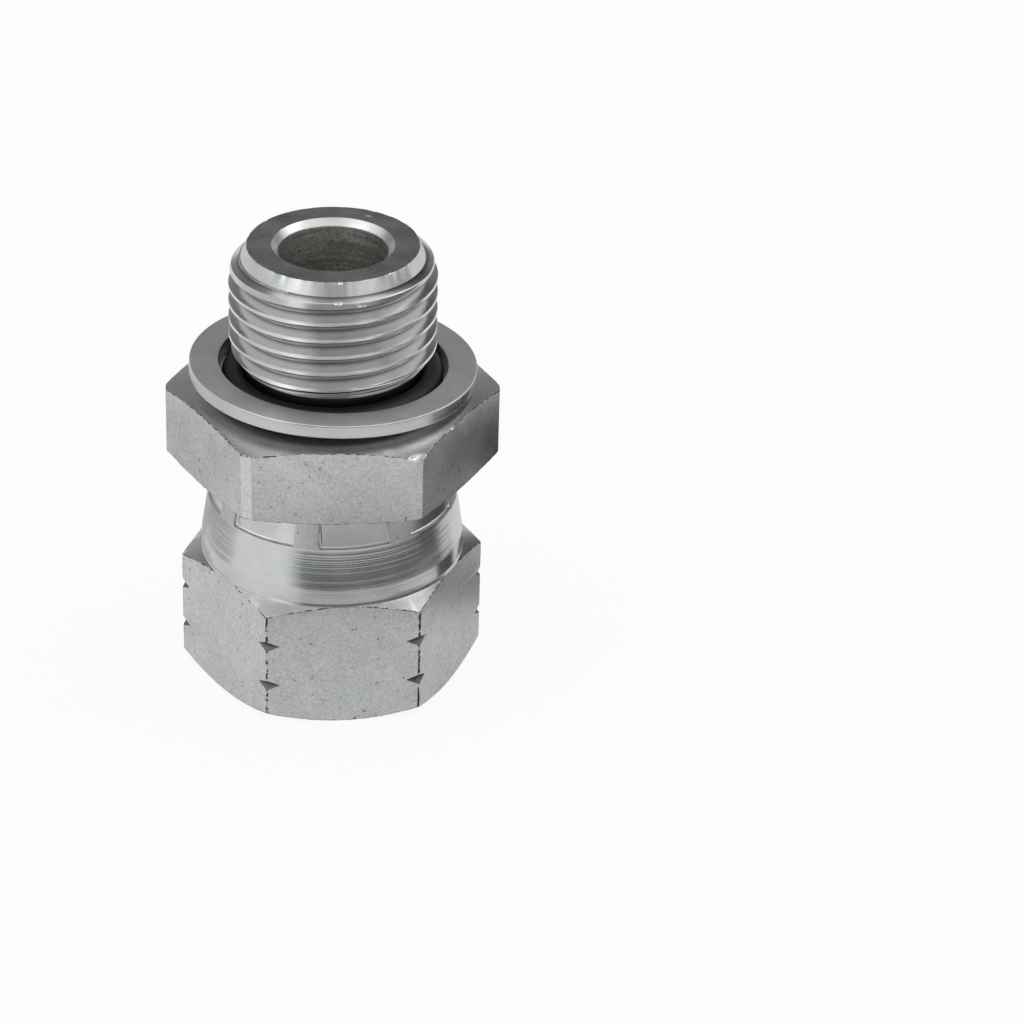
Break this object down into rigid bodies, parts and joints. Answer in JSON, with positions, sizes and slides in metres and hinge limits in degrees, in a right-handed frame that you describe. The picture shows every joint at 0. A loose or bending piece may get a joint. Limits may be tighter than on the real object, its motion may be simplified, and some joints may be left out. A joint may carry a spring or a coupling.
{
  "type": "face seal fitting",
  "caption": "Straight steel tube adapter with a threaded stud, captive seal ring and stepped retaining ring, body hex, and a crimped hex nut that swivels.",
  "frame": {"origin": "centre of the nut's open end, on the surface the fitting stands on", "axes": "+Z along the fitting's axis, out of the threaded stud; +X through a corner of the body hex"},
  "size_m": [0.0339, 0.03, 0.0476],
  "materials": {
    "body_steel": "zinc plated, satin",
    "nut_steel": "zinc plated, satin",
    "ring_steel": "zinc plated, turned",
    "seal_rubber": "semi-gloss"
  },
  "bodies": {
    "body": {"stud_body": "body_steel", "o_ring": "seal_rubber", "retaining_ring": "ring_steel"},
    "nut": {"swivel_nut": "nut_steel"}
  },
  "joints": [
    {"name": "nut_swivel", "type": "hinge", "parent": "body", "child": "nut", "pos_m": [0, 0, 0.0157], "axis": [0, 0, 1], "continuous": true}
  ]
}
